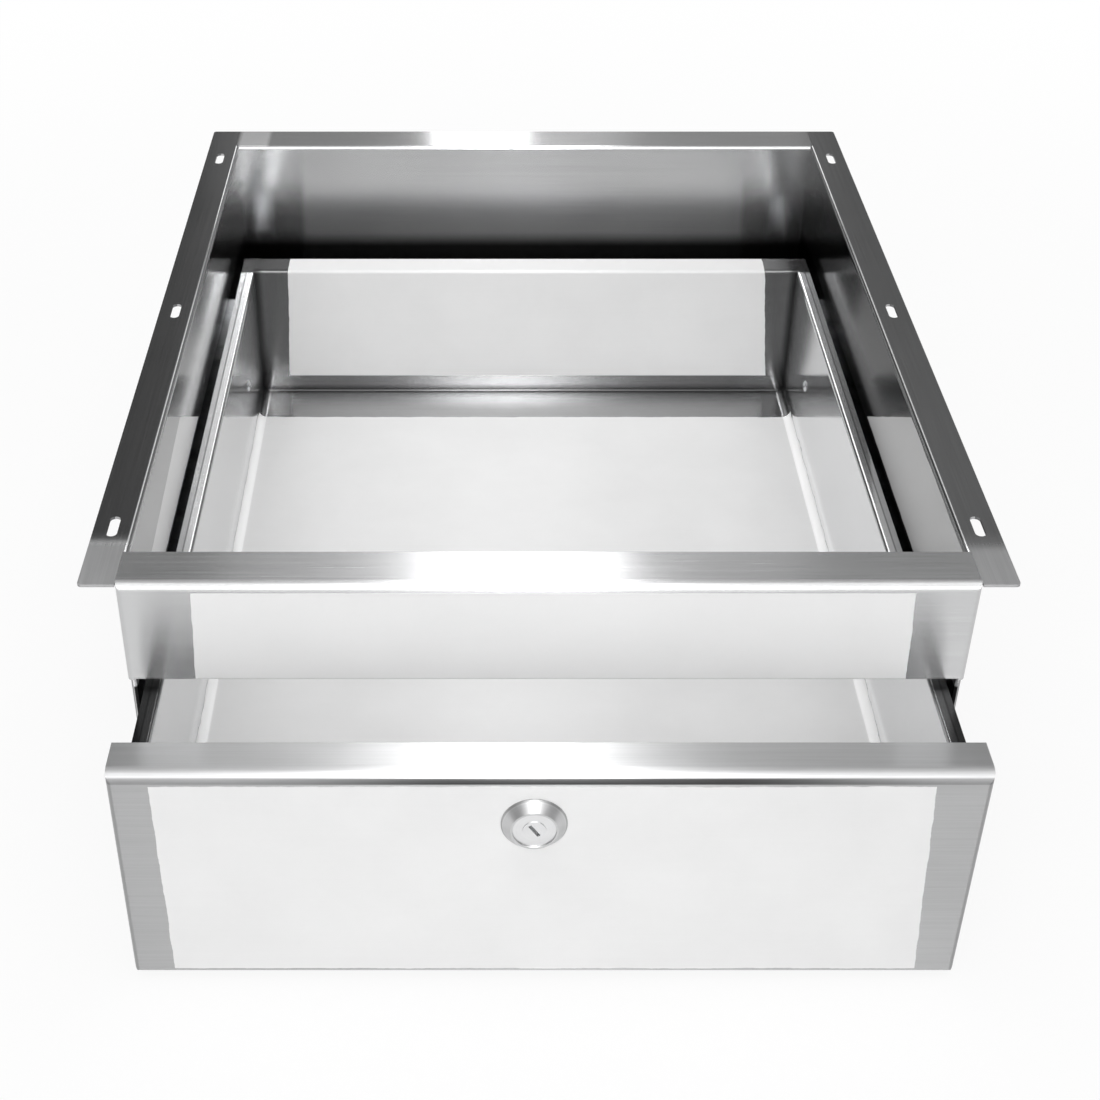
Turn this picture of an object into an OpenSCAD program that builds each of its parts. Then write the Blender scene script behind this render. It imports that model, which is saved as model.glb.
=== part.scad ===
// Built-in stainless steel drawer: a flanged sheet-steel housing, a folded drawer on telescopic
// ball slides, and a cam lock in the drawer front. Millimetres, +Z up, front toward -Y.
// The frame's origin is the middle of the box round the whole object, on its lowest level.
// Inside the modules Y = 0 is the front plane of the housing and Z = 0 the top of its flange.

/* [Drawer] */
// Inside width of the drawer pan
pan_w = 381; // [300:1:460]
// Inside depth of the drawer pan, front to back
pan_d = 496.6; // [470:0.1:560]
// Inside height of the drawer pan, floor to rim
pan_h = 97; // [84:0.5:110]
// Inside radius of the bends along the floor
floor_bend = 6; // [3:0.5:10]
// Inside radius of the tight fold between the floor and the back wall
back_fold = 1.5; // [1:0.5:8]
// Width of the rim turned out along the sides
rim_side_w = 7.8; // [5:0.1:10]
// Width of the rim turned back along the back wall
rim_back_w = 17.7; // [10:0.1:22]
// Height of the drawer front
front_h = 136.4; // [125:0.1:180]
// Thickness of the hollow drawer front
front_d = 22.5; // [16:0.5:26]
// How far the front reaches past the rail at each side
front_over = 1.4; // [1:0.1:6]
// Outside radius of the bend along the top of the front
front_top_bend = 6.5; // [3:0.5:8]
// Outside radius of the bends at the sides and bottom of the front
front_edge_bend = 2.6; // [2:0.1:4]
// Radius of the two lower corners of the front
front_corner_r = 4; // [3:0.5:8]
// How far the drawer stands open in the modelled pose
open_rest = 42; // [5:1:120]

/* [Housing] */
// Overhang of the top flange beyond each side wall
flange_side_w = 19.3; // [16:0.1:30]
// Depth of the top flange at the front
flange_front_w = 27; // [20:0.1:34]
// Depth of the top flange at the back
flange_back_w = 27.5; // [20:0.1:34]
// Height of the front rail
rail_h = 59; // [40:0.5:80]
// Outside radius of the bend along the top of the rail
rail_bend = 4.5; // [3:0.5:7]
// Outside radius of the bends at the rail's ends
rail_end_bend = 2.6; // [2:0.1:3.5]
// Length of the rail's end tabs along the side walls
rail_tab = 18; // [12:1:20]
// Gap between the rail and the top of the drawer
rail_gap = 3.3; // [2:0.1:6]
// How much lower the housing reaches than the drawer front
foot_drop = 4.5; // [1:0.1:6]
// Gap between the shut drawer front and the housing
shut_gap = 0.6; // [0.4:0.1:2]
// Gap between the shut drawer's back rim and the back panel
back_gap = 11.3; // [6:0.1:20]
// Width of the return flange along the bottom of the side walls
bottom_return = 12; // [8:0.5:16]
// Width of the return flange that holds the back panel
back_return = 12; // [8:0.5:16]
// Depth of the folded hems on the rail and the side walls
hem = 10; // [6:0.5:11]
// Radius of the flange's outer corners
flange_corner_r = 2; // [1:0.5:5]

/* [Flange slots] */
// Width of a mounting slot
slot_w = 5.5; // [4:0.1:7]
// Length of a mounting slot, end to end
slot_l = 17.3; // [10:0.1:26]
// Distance between neighbouring slots
slot_pitch = 228; // [180:1:240]

/* [Sheet] */
// Sheet thickness of the housing
housing_t = 1.5; // [1:0.1:1.8]
// Sheet thickness of the drawer
drawer_t = 1.2; // [0.8:0.1:1.4]
// Inside radius of the tight bends
tight_bend = 1; // [0.6:0.1:1.5]

/* [Slides] */
// Length of an outer slide member
slide_l = 450; // [420:1:455]
// Thickness of a slide, wall to drawer
slide_w = 13; // [12.7:0.1:13.6]
// Height of a slide
slide_h = 45; // [44:0.5:50]
// Distance from the housing's front plane to the slides
slide_inset = 12; // [12:0.5:16]
// Depth of the slides' middle line below the drawer's rim
slide_drop = 49; // [44:0.5:56]
// Sheet thickness of the outer and inner slide members
slide_t = 1.2; // [1:0.1:1.3]
// Sheet thickness of the middle slide members
middle_t = 1; // [0.8:0.1:1.1]
// Sheet thickness of the ball cages
cage_t = 0.75; // [0.6:0.05:0.8]
// Diameter of the balls
ball_d = 4; // [3.6:0.1:4.2]
// Balls in each row of a cage
ball_count = 7; // [4:1:9]
// Distance between neighbouring balls
ball_pitch = 28; // [20:1:28]
// Length of a cage beyond its end balls, both ends together
cage_ends = 20; // [10:1:30]
// Thickness of the buffer behind each middle member
buffer_t = 7.7; // [5:0.1:12]
// Width of the slots punched in the webs of the outer and inner members
web_slot_w = 4.6; // [3:0.1:6]
// Length of these slots
web_slot_l = 10; // [7:0.5:14]
// Diameter of the round windows near the ends of the middle members
window_d = 8; // [5:0.5:10]
// Distance of these windows from the ends
window_inset = 18; // [14:1:40]

/* [Screws] */
// Shank diameter of the screws through the housing
screw_d = 4; // [3:0.5:4.5]
// Shank diameter of the self-tapping screws through the pan
pan_screw_d = 3.5; // [2.9:0.1:3.8]
// Head diameter of the slide screws
screw_head_d = 8; // [7:0.5:9]
// Head height of the screws inside the pan
screw_head_h = 1.7; // [1.2:0.1:2.2]
// Distance of the end screws from the ends of the slide
screw_inset = 34; // [20:1:60]
// Width across the flats of a nut
nut_w = 7; // [6.5:0.5:8]
// Height of a nut
nut_h = 3.2; // [2.4:0.1:4]

/* [Lock] */
// Sideways place of the lock on the front
lock_x = -7; // [-60:1:60]
// Depth of the lock below the top of the front
lock_drop = 31.5; // [30:0.5:40]
// Diameter of the collar at its foot
collar_d = 32; // [28:0.5:38]
// Diameter of the collar at its rim
collar_rim_d = 23.2; // [23:0.1:25]
// How far the collar stands out from the front
collar_h = 5.5; // [4.5:0.1:8]
// Diameter of the barrel's head
barrel_head_d = 21.2; // [20.5:0.1:21.6]
// Diameter of the barrel
barrel_d = 18.8; // [17:0.1:19.2]
// Diameter of the plug
plug_d = 11.2; // [10:0.1:13]
// Length of the key slot
key_l = 8; // [6:0.1:9]
// Width of the key slot
key_w = 1.8; // [1.4:0.1:2.4]
// Lean of the key slot from upright
key_lean = 35; // [0:1:90]
// Reach of the cam from the lock's axis
cam_l = 46; // [42:0.5:52]
// Width of the cam
cam_w = 13; // [12:0.5:16]
// Thickness of the cam
cam_t = 2; // [1.5:0.1:2.5]
// Thickness of the lock nut
lock_nut_t = 3; // [2.5:0.1:4]
// Width of the lock nut across its flats
lock_nut_w = 24; // [23:0.5:28]

/* [Hidden] */
$fn = 48;

// Cutters reach this far past what they cut
past = 1;
// Bends and folds run on this far inside the flats that they join
lap = 0.5;
// Longer than any wall that a screw hole goes through
through = 6;
// Gap between the ends of the rail's hem and the side walls
hem_clear = 0.5;
// Relief left between two folds of one sheet
fold_relief = 2;
// Gap between a fold and the sheet it folds round
fold_gap = 0.3;

// Widths, measured from the middle
pan_in_x = pan_w / 2;
pan_out_x = pan_in_x + drawer_t;
rim_x = pan_out_x + rim_side_w;
wall_in_x = pan_out_x + slide_w;
wall_out_x = wall_in_x + housing_t;
rail_x = wall_out_x + housing_t;
flange_x = wall_out_x + flange_side_w;
front_x = rail_x + front_over;
flange_bend_x = wall_out_x + tight_bend;

// Levels, measured from the top of the flange
rail_low_z = -rail_h;
drawer_z = rail_low_z - rail_gap;
rim_bend_z = drawer_z - drawer_t - tight_bend;
floor_z = drawer_z - pan_h;
front_low_z = drawer_z - front_h;
housing_h = rail_h + rail_gap + front_h + foot_drop;
bottom_bend_z = -housing_h + housing_t + tight_bend;
slide_z = drawer_z - slide_drop;
lock_z = drawer_z - lock_drop;

// Depths, measured from the front plane of the housing
front_back_y = -shut_gap - open_rest;
front_face_y = front_back_y - front_d;
pan_back_y = front_back_y + pan_d;
pan_out_y = pan_back_y + drawer_t;
rim_y = pan_out_y + rim_back_w;
panel_in_y = rim_y + open_rest + back_gap;
panel_out_y = panel_in_y + housing_t;
flange_y = panel_in_y + flange_back_w;
back_bend_y = panel_out_y + tight_bend;

// Origin: the middle of the box round the object, on its lowest level
mid_y = (front_face_y - collar_h + flange_y) / 2;

// Slide section: u runs from the housing wall to the drawer, v up from the slide's middle line
ball_fit = 0.05;
cage_gap = 0.3;
track_r = ball_d / 2 + ball_fit;
row_step = 2 * track_r + middle_t;
track_bite = 0.55;
middle_u = slide_t + 2 * cage_gap + cage_t;
outer_row_u = middle_u + middle_t + track_r;
outer_row_v = slide_h / 2 - slide_t - track_r;
inner_row_u = slide_w - slide_t - track_r - track_bite;
row_rise = sqrt(row_step * row_step - pow(inner_row_u - outer_row_u, 2));
inner_row_v = outer_row_v - row_rise;
row_angle = atan2(row_rise, inner_row_u - outer_row_u);
// Where the curved tracks leave the flat webs, and where their free lips end, in degrees
web_turn = 25;
middle_lip = 40;
inner_lip = 20;
// Half height of the flat webs, up to where the tracks curve off
middle_web_v = outer_row_v - (track_r + middle_t) * sin(web_turn);
inner_web_v = inner_row_v - (track_r + slide_t) * sin(web_turn);

// Slide lengths and places with the drawer shut
middle_l = slide_l - buffer_t - cage_gap;
cage_mid = slide_inset + middle_l / 2;
cage_l = (ball_count - 1) * ball_pitch + cage_ends;
tab_half_t = 0.4;
pocket_gap = 0.1;
// Shares of the drawer's travel that the slides' other members make
middle_share = 0.5;
outer_cage_share = 0.25;
inner_cage_share = 0.75;

// Screws
hole_gap = 0.1;
thread_gap = 0.02;
screw_ends = [screw_inset, middle_l - screw_inset];
housing_screw_at = [screw_inset, middle_l / 2, middle_l - screw_inset];
screw_tail = 1.4;
drive_w = 0.9;
drive_l = 4.4;

// Lock
lock_gap = 0.05;
collar_foot_t = 1;
rim_recess = 0.8;
barrel_tail = 3;
barrel_end_y = front_back_y + lock_nut_t + barrel_tail;
plug_proud = 0.4;
tail_w = 7;
cam_gap = 0.3;
cam_y = barrel_end_y + cam_gap;
cam_hub_d = 18;
cam_screw_d = 12;
cam_screw_t = 1.8;
cam_screw_core = 4;
cam_screw_depth = 3;
key_depth = 6;

steel = [0.80, 0.81, 0.82];
drawer_steel = [0.86, 0.87, 0.88];
zinc = [0.70, 0.72, 0.74];
chrome = [0.90, 0.90, 0.92];
rubber = [0.12, 0.12, 0.12];

// From the working frame of the modules to the object's own frame
module placed() {
    translate([0, -mid_y, housing_h]) children();
}

// Sweeps an X-Z outline along Y
module along_y(from, to) {
    translate([0, to, 0]) rotate([90, 0, 0]) linear_extrude(to - from) children();
}

// Sweeps a Y-Z outline along X
module along_x(from, to) {
    translate([from, 0, 0]) rotate([90, 0, 90]) linear_extrude(to - from) children();
}

// Sweeps an X-Y outline along Z
module along_z(from, to) {
    translate([0, 0, from]) linear_extrude(to - from) children();
}

// A box between two corners
module block(low, high) {
    translate(low) cube(high - low);
}

// A rectangle between two corners
module plate(low, high) {
    translate(low) square(high - low);
}

// A slot along Y
module slot(w, l) {
    half = (l - w) / 2;
    translate([0, half]) circle(w / 2);
    translate([0, -half]) circle(w / 2);
    square([w, 2 * half], center = true);
}

// Left or right copy of a piece drawn at the right side
module at_side(side) {
    if (side > 0) children();
    else mirror([1, 0, 0]) children();
}

// What lies outside a rounded corner at the origin, for taking the corner off a rectangle
module corner_cut(r) {
    difference() {
        translate([-past, -past]) square(r + past);
        translate([r, r]) circle(r);
    }
}

// A quarter turn of bent sheet round the origin, in the first quadrant. Its two ends run on
// straight by the lap, into the flats that they join.
module bent(r, t) {
    start = -lap - past;
    difference() {
        plate([-lap, -lap], [r + t, r + t]);
        translate([r + t, r + t]) rotate(180) corner_cut(r + t);
        circle(r);
        plate([start, start], [r, 0]);
        plate([start, start], [0, r]);
    }
}

// A part of a ring round the origin between two angles no more than 180 degrees apart
module ring_part(r_in, r_out, from, to) {
    reach = 2 * r_out;
    corners = [for (i = [0:3]) reach * [cos(from + (to - from) * i / 3), sin(from + (to - from) * i / 3)]];
    intersection() {
        difference() {
            circle(r_out);
            circle(r_in);
        }
        polygon(concat([[0, 0]], corners));
    }
}

// Upper and lower copy of half a slide section
module both_rows() {
    children();
    mirror([0, 1]) children();
}

// Housing side

// Wall with its top flange and bottom return, in an X-Z outline
module side_wall_outline() {
    plate([wall_in_x, bottom_bend_z], [wall_out_x, -housing_t - tight_bend]);
    translate([flange_bend_x, -housing_t - tight_bend]) mirror([1, 0]) bent(tight_bend, housing_t);
}

module side_bottom_outline() {
    translate([wall_in_x - tight_bend, bottom_bend_z]) mirror([0, 1]) bent(tight_bend, housing_t);
    plate([wall_in_x - bottom_return, -housing_h], [wall_in_x - tight_bend, -housing_h + housing_t]);
}

// The flange's flat strip with its three slots
module side_flange() {
    slot_x = (wall_out_x + flange_x) / 2;
    difference() {
        along_z(-housing_t, 0) difference() {
            plate([flange_bend_x, 0], [flange_x, flange_y]);
            translate([flange_x, 0]) mirror([1, 0]) corner_cut(flange_corner_r);
            translate([flange_x, flange_y]) rotate(180) corner_cut(flange_corner_r);
        }
        for (i = [-1:1]) along_z(-housing_t - past, past)
            translate([slot_x, flange_y / 2 + i * slot_pitch]) slot(slot_w, slot_l);
    }
}

// The hem folded in along the front edge of the wall, in an X-Y outline
module side_hem_outline() {
    translate([wall_in_x, housing_t]) circle(housing_t);
    plate([wall_in_x - housing_t, housing_t], [wall_in_x, hem]);
}

// The return folded in behind the back panel, in an X-Y outline
module side_back_outline() {
    back = panel_out_y + housing_t;
    difference() {
        union() {
            plate([wall_in_x, panel_out_y - lap], [wall_out_x, back]);
            plate([wall_out_x - back_return, panel_out_y], [wall_out_x, back]);
        }
        translate([wall_out_x, back]) rotate(180) corner_cut(housing_t);
    }
}

// Outer slide screws go through the wall
module at_housing_screws() {
    for (s = housing_screw_at)
        translate([wall_in_x, slide_inset + s, slide_z]) rotate([0, 90, 0]) children();
}

module housing_side() {
    difference() {
        union() {
            along_y(housing_t, panel_out_y) side_wall_outline();
            along_y(hem + fold_relief, panel_in_y) side_bottom_outline();
            along_z(bottom_bend_z, rail_low_z) side_hem_outline();
            side_flange();
            along_z(bottom_bend_z, -housing_t - tight_bend - fold_gap) side_back_outline();
        }
        // Room for the rail's bends, flange and end tab
        block([wall_in_x - past, -past, rail_low_z], [rail_x, rail_bend + fold_gap, past]);
        block([wall_in_x - past, -past, -housing_t], [rail_x, flange_front_w, past]);
        block([wall_out_x, -past, -housing_t - tight_bend], [rail_x, flange_front_w, past]);
        // Room for the back panel's flange
        block([wall_in_x - past, back_bend_y, -housing_t], [flange_bend_x, flange_y + past, past]);
        at_housing_screws() cylinder(d = screw_d + 2 * hole_gap, h = through, center = true);
    }
}

module housing_left_side() {
    color(steel) placed() at_side(-1) housing_side();
}

module housing_right_side() {
    color(steel) placed() at_side(1) housing_side();
}

// Housing rail and back panel

// The rail is a shell: top flange, face and end tabs, rounded where they meet
module rail_solid(inset, low) {
    bend_r = rail_bend - inset;
    end_r = rail_end_bend - inset;
    x = rail_x - inset;
    intersection() {
        along_x(-x, x) difference() {
            plate([inset, low], [flange_front_w + inset, -inset]);
            translate([inset, -inset]) mirror([0, 1]) corner_cut(bend_r);
        }
        along_z(low - past, past) difference() {
            plate([-x, inset], [x, flange_front_w + inset]);
            translate([-x, inset]) corner_cut(end_r);
            translate([x, inset]) mirror([1, 0]) corner_cut(end_r);
        }
    }
}

module rail_hem() {
    along_x(-wall_in_x + hem_clear, wall_in_x - hem_clear) {
        translate([housing_t, rail_low_z + housing_t]) circle(housing_t);
        plate([housing_t, rail_low_z + housing_t], [2 * housing_t, rail_low_z + hem]);
    }
}

module housing_front_rail() {
    hem_x = wall_in_x - hem_clear;
    cut_z = rail_low_z - past;
    color(steel) placed() {
        difference() {
            rail_solid(0, rail_low_z);
            rail_solid(housing_t, cut_z);
            for (side = [-1, 1]) at_side(side)
                block([wall_out_x - past, rail_tab, cut_z],
                    [rail_x + past, flange_front_w + past, -housing_t]);
            block([-hem_x, -past, cut_z], [hem_x, flange_front_w, rail_low_z + housing_t]);
        }
        rail_hem();
    }
}

module housing_back_panel() {
    color(steel) placed() {
        along_x(-wall_in_x, wall_in_x) {
            plate([panel_in_y, -housing_h], [panel_out_y, -housing_t - tight_bend]);
            translate([back_bend_y, -housing_t - tight_bend]) mirror([1, 0]) bent(tight_bend, housing_t);
        }
        block([-flange_bend_x, back_bend_y, -housing_t], [flange_bend_x, flange_y, 0]);
    }
}

// Slides

// Puts a slide section, given in u and v, at the right side of the drawer and sweeps it along Y
module slide_run(from, to) {
    along_y(from, to) translate([wall_in_x, slide_z]) mirror([1, 0]) children();
}

// How far a moving member has come forward
function forward(share) = -open_rest * share;

module outer_section() {
    plate([0, -slide_h / 2], [slide_t, slide_h / 2]);
    both_rows() {
        plate([0, slide_h / 2 - slide_t], [outer_row_u, slide_h / 2]);
        translate([outer_row_u, outer_row_v]) ring_part(track_r, track_r + slide_t, 0, 90);
    }
}

module middle_section() {
    plate([middle_u, -middle_web_v], [middle_u + middle_t, middle_web_v]);
    both_rows() {
        translate([outer_row_u, outer_row_v])
            ring_part(track_r, track_r + middle_t, 180 + web_turn, 360 - row_angle);
        translate([inner_row_u, inner_row_v])
            ring_part(track_r, track_r + middle_t, middle_lip, 180 - row_angle);
    }
}

module inner_section() {
    plate([slide_w - slide_t, -inner_web_v], [slide_w, inner_web_v]);
    both_rows() translate([inner_row_u, inner_row_v])
        ring_part(track_r, track_r + slide_t, 180 + inner_lip, 360 - web_turn);
}

// A countersunk head, as deep as the slide's web
module screw_cone(grow) {
    cylinder(r1 = screw_head_d / 2 + grow, r2 = screw_head_d / 2 - slide_t + grow, h = slide_t);
}

// Places a third and two thirds of the way from each screw to the next
function thirds(at) = [for (i = [0:len(at) - 2]) for (k = [1, 2]) at[i] + (at[i + 1] - at[i]) * k / 3];

// An outline cut through a member's web at these places behind its front end
module web_cuts(front, places) {
    for (s = places) translate([wall_in_x - slide_w / 2, front + s, slide_z])
        rotate([0, 90, 0]) linear_extrude(slide_w + 2 * past, center = true) children();
}

module outer_slide() {
    difference() {
        slide_run(slide_inset, slide_inset + slide_l) outer_section();
        web_cuts(slide_inset, thirds(housing_screw_at)) slot(web_slot_w, web_slot_l);
        // Countersunk holes: the screw heads lie flush in the web
        at_housing_screws() translate([0, 0, -slide_t]) screw_cone(hole_gap);
    }
}

module middle_slide() {
    y = slide_inset + forward(middle_share);
    difference() {
        slide_run(y, y + middle_l) middle_section();
        web_cuts(y, [window_inset, middle_l - window_inset]) circle(window_d / 2);
    }
}

module at_drawer_screws() {
    for (s = screw_ends)
        translate([pan_out_x, slide_inset - open_rest + s, slide_z]) rotate([0, 90, 0]) children();
}

module inner_slide() {
    y = slide_inset - open_rest;
    difference() {
        slide_run(y, y + middle_l) inner_section();
        web_cuts(y, thirds(screw_ends)) slot(web_slot_w, web_slot_l);
        at_drawer_screws() cylinder(d = pan_screw_d + 2 * thread_gap, h = through, center = true);
    }
}

// A ball cage: a web with a tab along each ball row, and a pocket round each ball
module cage(web_u, row_u, row_v, tab_u, share) {
    y = cage_mid + forward(share);
    difference() {
        slide_run(y - cage_l / 2, y + cage_l / 2) difference() {
            plate([web_u, -row_v - tab_half_t], [tab_u, row_v + tab_half_t]);
            plate([web_u + cage_t, -row_v + tab_half_t], [tab_u + past, row_v - tab_half_t]);
        }
        at_balls(row_u, row_v, share) cylinder(d = ball_d + 2 * pocket_gap, h = ball_d, center = true);
    }
}

module at_balls(row_u, row_v, share) {
    first = cage_mid + forward(share) - (ball_count - 1) * ball_pitch / 2;
    for (i = [0:ball_count - 1]) for (v = [-row_v, row_v])
        translate([wall_in_x - row_u, first + i * ball_pitch, slide_z + v]) children();
}

module outer_cage() {
    cage(slide_t + cage_gap, outer_row_u, outer_row_v, outer_row_u + track_r - cage_gap, outer_cage_share);
}

module inner_cage() {
    cage(middle_u + middle_t + cage_gap, inner_row_u, inner_row_v, slide_w - slide_t - 2 * cage_gap,
        inner_cage_share);
}

module outer_balls() {
    at_balls(outer_row_u, outer_row_v, outer_cage_share) sphere(d = ball_d);
}

module inner_balls() {
    at_balls(inner_row_u, inner_row_v, inner_cage_share) sphere(d = ball_d);
}

module outer_slide_left() {
    color(zinc) placed() at_side(-1) outer_slide();
}

module outer_slide_right() {
    color(zinc) placed() at_side(1) outer_slide();
}

module middle_slide_left() {
    color(zinc) placed() at_side(-1) middle_slide();
}

module middle_slide_right() {
    color(zinc) placed() at_side(1) middle_slide();
}

module inner_slide_left() {
    color(zinc) placed() at_side(-1) inner_slide();
}

module inner_slide_right() {
    color(zinc) placed() at_side(1) inner_slide();
}

module outer_cage_left() {
    color(zinc) placed() at_side(-1) outer_cage();
}

module outer_cage_right() {
    color(zinc) placed() at_side(1) outer_cage();
}

module inner_cage_left() {
    color(zinc) placed() at_side(-1) inner_cage();
}

module inner_cage_right() {
    color(zinc) placed() at_side(1) inner_cage();
}

module outer_balls_left() {
    color(chrome) placed() at_side(-1) outer_balls();
}

module outer_balls_right() {
    color(chrome) placed() at_side(1) outer_balls();
}

module inner_balls_left() {
    color(chrome) placed() at_side(-1) inner_balls();
}

module inner_balls_right() {
    color(chrome) placed() at_side(1) inner_balls();
}

// Each buffer fills the channel behind the middle member
module slide_buffers() {
    end = slide_inset + slide_l;
    color(rubber) placed() for (side = [-1, 1]) at_side(side)
        slide_run(end - buffer_t, end) plate([slide_t, -middle_web_v], [slide_w - 2 * slide_t, middle_web_v]);
}

// Screws

// A cross for a screwdriver, cut into a head that faces -Z
module drive(depth) {
    for (turn = [0, 90]) rotate(turn) cube([drive_l, drive_w, 2 * depth], center = true);
}

module housing_screws() {
    length = slide_t + housing_t + nut_h + screw_tail;
    color(zinc) placed() for (side = [-1, 1]) at_side(side) at_housing_screws() translate([0, 0, -slide_t])
        difference() {
            union() {
                screw_cone(0);
                cylinder(d = screw_d, h = length);
            }
            drive(slide_t);
        }
}

module housing_nuts() {
    color(zinc) placed() for (side = [-1, 1]) at_side(side) at_housing_screws() translate([0, 0, housing_t])
        difference() {
            cylinder(d = nut_w / cos(30), h = nut_h, $fn = 6);
            translate([0, 0, -past]) cylinder(d = screw_d + 2 * thread_gap, h = nut_h + 2 * past);
        }
}

module drawer_screws() {
    // The dome is a slice of a ball as wide as the head
    dome_r = (pow(screw_head_d / 2, 2) + screw_head_h * screw_head_h) / (2 * screw_head_h);
    color(zinc) placed() for (side = [-1, 1]) at_side(side) at_drawer_screws() translate([0, 0, -drawer_t])
        difference() {
            union() {
                intersection() {
                    translate([0, 0, dome_r - screw_head_h]) sphere(dome_r);
                    translate([0, 0, -2 * screw_head_h])
                        cylinder(d = screw_head_d + past, h = 2 * screw_head_h);
                }
                cylinder(d = pan_screw_d, h = drawer_t + slide_t + screw_tail);
            }
            translate([0, 0, -screw_head_h]) drive(screw_head_h / 2);
        }
}

// Drawer

// The front's space, with rounded edges; inset gives the hollow inside the sheet
module front_space(inset, back) {
    x = front_x - inset;
    y = front_face_y + inset;
    low = front_low_z + inset;
    top = drawer_z - inset;
    intersection() {
        along_x(-x, x) difference() {
            plate([y, low], [back, top]);
            translate([y, top]) mirror([0, 1]) corner_cut(front_top_bend - inset);
            translate([y, low]) corner_cut(front_edge_bend - inset);
        }
        along_z(low, top) difference() {
            plate([-x, y], [x, back]);
            translate([-x, y]) corner_cut(front_edge_bend - inset);
            translate([x, y]) mirror([1, 0]) corner_cut(front_edge_bend - inset);
        }
        along_y(y, back) difference() {
            plate([-x, low], [x, top]);
            translate([-x, low]) corner_cut(front_corner_r - inset);
            translate([x, low]) mirror([1, 0]) corner_cut(front_corner_r - inset);
        }
    }
}

module lock_hole(d) {
    translate([lock_x, front_face_y - past, lock_z]) rotate([-90, 0, 0])
        cylinder(d = d, h = front_d + 2 * past);
}

module drawer_front() {
    color(drawer_steel) placed() difference() {
        front_space(0, front_back_y);
        front_space(drawer_t, front_back_y + past);
        lock_hole(barrel_d + 2 * hole_gap);
    }
}

module drawer_inner_front() {
    color(drawer_steel) placed() difference() {
        intersection() {
            front_space(drawer_t, front_back_y);
            block([-front_x, front_back_y - drawer_t, front_low_z], [front_x, front_back_y, drawer_z]);
        }
        lock_hole(barrel_d + 2 * hole_gap);
    }
}

// The pan's space below its rim; grow gives the outside of the sheet
module pan_space(grow, front, top) {
    x = pan_in_x + grow;
    y = pan_back_y + grow;
    low = floor_z - grow;
    r = floor_bend + grow;
    fold_r = back_fold + grow;
    intersection() {
        along_y(front, y) difference() {
            plate([-x, low], [x, top]);
            translate([-x, low]) corner_cut(r);
            translate([x, low]) mirror([1, 0]) corner_cut(r);
        }
        along_x(-x, x) difference() {
            plate([front, low], [y, top]);
            translate([y, low]) mirror([1, 0]) corner_cut(fold_r);
        }
    }
}

// The rim's flat round both sides and the back, in an X-Y outline
module rim_plan() {
    difference() {
        plate([-rim_x, front_back_y], [rim_x, rim_y]);
        plate([-pan_out_x - tight_bend, front_back_y - past], [pan_out_x + tight_bend, pan_out_y]);
        plate([-pan_out_x, front_back_y - past], [pan_out_x, pan_out_y + tight_bend]);
    }
}

module drawer_pan() {
    color(drawer_steel) placed() difference() {
        union() {
            difference() {
                pan_space(drawer_t, front_back_y, rim_bend_z);
                pan_space(0, front_back_y - past, rim_bend_z + past);
            }
            for (side = [-1, 1]) at_side(side) along_y(front_back_y, pan_out_y)
                translate([pan_out_x + tight_bend, rim_bend_z]) mirror([1, 0]) bent(tight_bend, drawer_t);
            along_x(-pan_out_x, pan_out_x)
                translate([pan_out_y + tight_bend, rim_bend_z]) mirror([1, 0]) bent(tight_bend, drawer_t);
            along_z(drawer_z - drawer_t, drawer_z) rim_plan();
        }
        for (side = [-1, 1]) at_side(side) at_drawer_screws()
            cylinder(d = pan_screw_d + 2 * hole_gap, h = through, center = true);
    }
}

// Lock, turned about a line along Y; in these modules Z runs back from the front's face

module at_lock(y) {
    translate([lock_x, y, lock_z]) rotate([-90, 0, 0]) children();
}

module lock_collar() {
    foot_r = collar_d / 2;
    rim_r = collar_rim_d / 2;
    seat_r = barrel_head_d / 2 + lock_gap;
    bore_r = barrel_d / 2 + lock_gap;
    color(chrome) placed() at_lock(front_face_y) rotate_extrude()
        polygon([[bore_r, 0], [foot_r, 0], [foot_r, -collar_foot_t / 2], [rim_r, -collar_h],
            [seat_r, -collar_h], [seat_r, -collar_foot_t], [bore_r, -collar_foot_t]]);
}

module lock_barrel() {
    head_front = front_face_y - collar_h + rim_recess;
    length = barrel_end_y - head_front;
    color(chrome) placed() difference() {
        union() {
            at_lock(head_front) cylinder(d = barrel_head_d, h = collar_h - rim_recess - collar_foot_t);
            at_lock(head_front) cylinder(d = barrel_d, h = length);
        }
        at_lock(head_front - past) cylinder(d = plug_d + 2 * lock_gap, h = length + 2 * past);
    }
}

module lock_nut() {
    color(zinc) placed() at_lock(front_back_y) difference() {
        cylinder(d = lock_nut_w / cos(30), h = lock_nut_t, $fn = 6);
        translate([0, 0, -past]) cylinder(d = barrel_d + 2 * thread_gap, h = lock_nut_t + 2 * past);
    }
}

module lock_plug() {
    plug_front = front_face_y - collar_h + rim_recess - plug_proud;
    tail = cam_t + cam_y - barrel_end_y;
    color(chrome) placed() difference() {
        union() {
            at_lock(plug_front) cylinder(d = plug_d, h = barrel_end_y - plug_front);
            at_lock(barrel_end_y + tail / 2) cube([tail_w, tail_w, tail], center = true);
        }
        at_lock(plug_front) rotate(-key_lean) cube([key_w, key_l, 2 * key_depth], center = true);
        at_lock(cam_y - cam_screw_depth)
            cylinder(d = cam_screw_core + 2 * thread_gap, h = 2 * cam_screw_depth);
    }
}

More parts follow.
